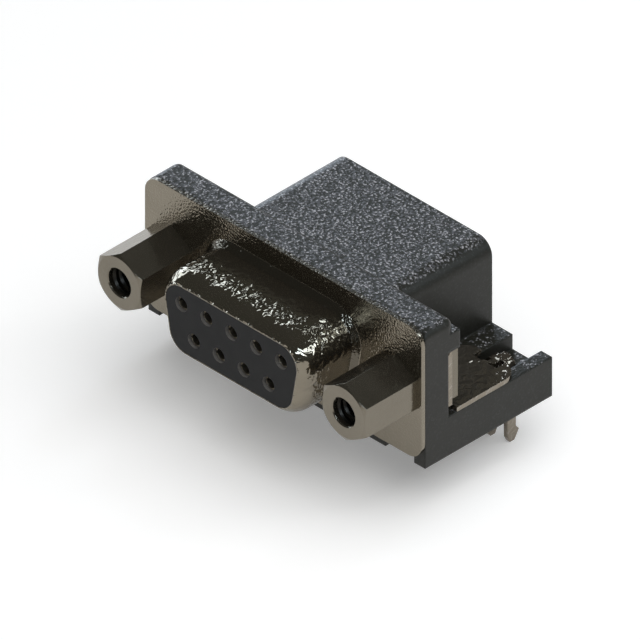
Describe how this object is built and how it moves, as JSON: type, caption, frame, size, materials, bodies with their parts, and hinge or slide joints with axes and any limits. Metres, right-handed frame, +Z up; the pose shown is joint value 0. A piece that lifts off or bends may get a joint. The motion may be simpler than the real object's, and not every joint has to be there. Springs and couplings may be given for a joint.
{
  "type": "d-sub connector",
  "caption": "Right-angle board connector with a D-shaped socket front, two threaded standoffs, a black moulded hood and board lock prongs.",
  "frame": {"origin": "middle of the D-shaped snout's outline, on the plane of the flange's front face", "axes": "+X along the flange's width, +Y to the rear over the board, +Z up from the board"},
  "size_m": [0.0308, 0.0203, 0.0174],
  "materials": {
    "black_plastic": "fine moulded texture",
    "shell_metal": "satin tin or nickel plating",
    "screw_metal": "satin nickel plating",
    "bracket_metal": "bright tin plating",
    "contact_metal": "thin bright plating"
  },
  "bodies": {
    "root": {"front_shell": "shell_metal", "front_insulator": "black_plastic", "rear_insulator": "black_plastic", "bracket_housing": "black_plastic", "tail_spacer": "black_plastic", "ground_bracket_right": "bracket_metal", "jackscrew_right": "screw_metal", "screw_nut_right": "screw_metal", "ground_bracket_left": "bracket_metal", "jackscrew_left": "screw_metal", "screw_nut_left": "screw_metal", "contact_1": "contact_metal", "contact_2": "contact_metal", "contact_3": "contact_metal", "contact_4": "contact_metal", "contact_5": "contact_metal", "contact_6": "contact_metal", "contact_7": "contact_metal", "contact_8": "contact_metal", "contact_9": "contact_metal"}
  },
  "joints": []
}
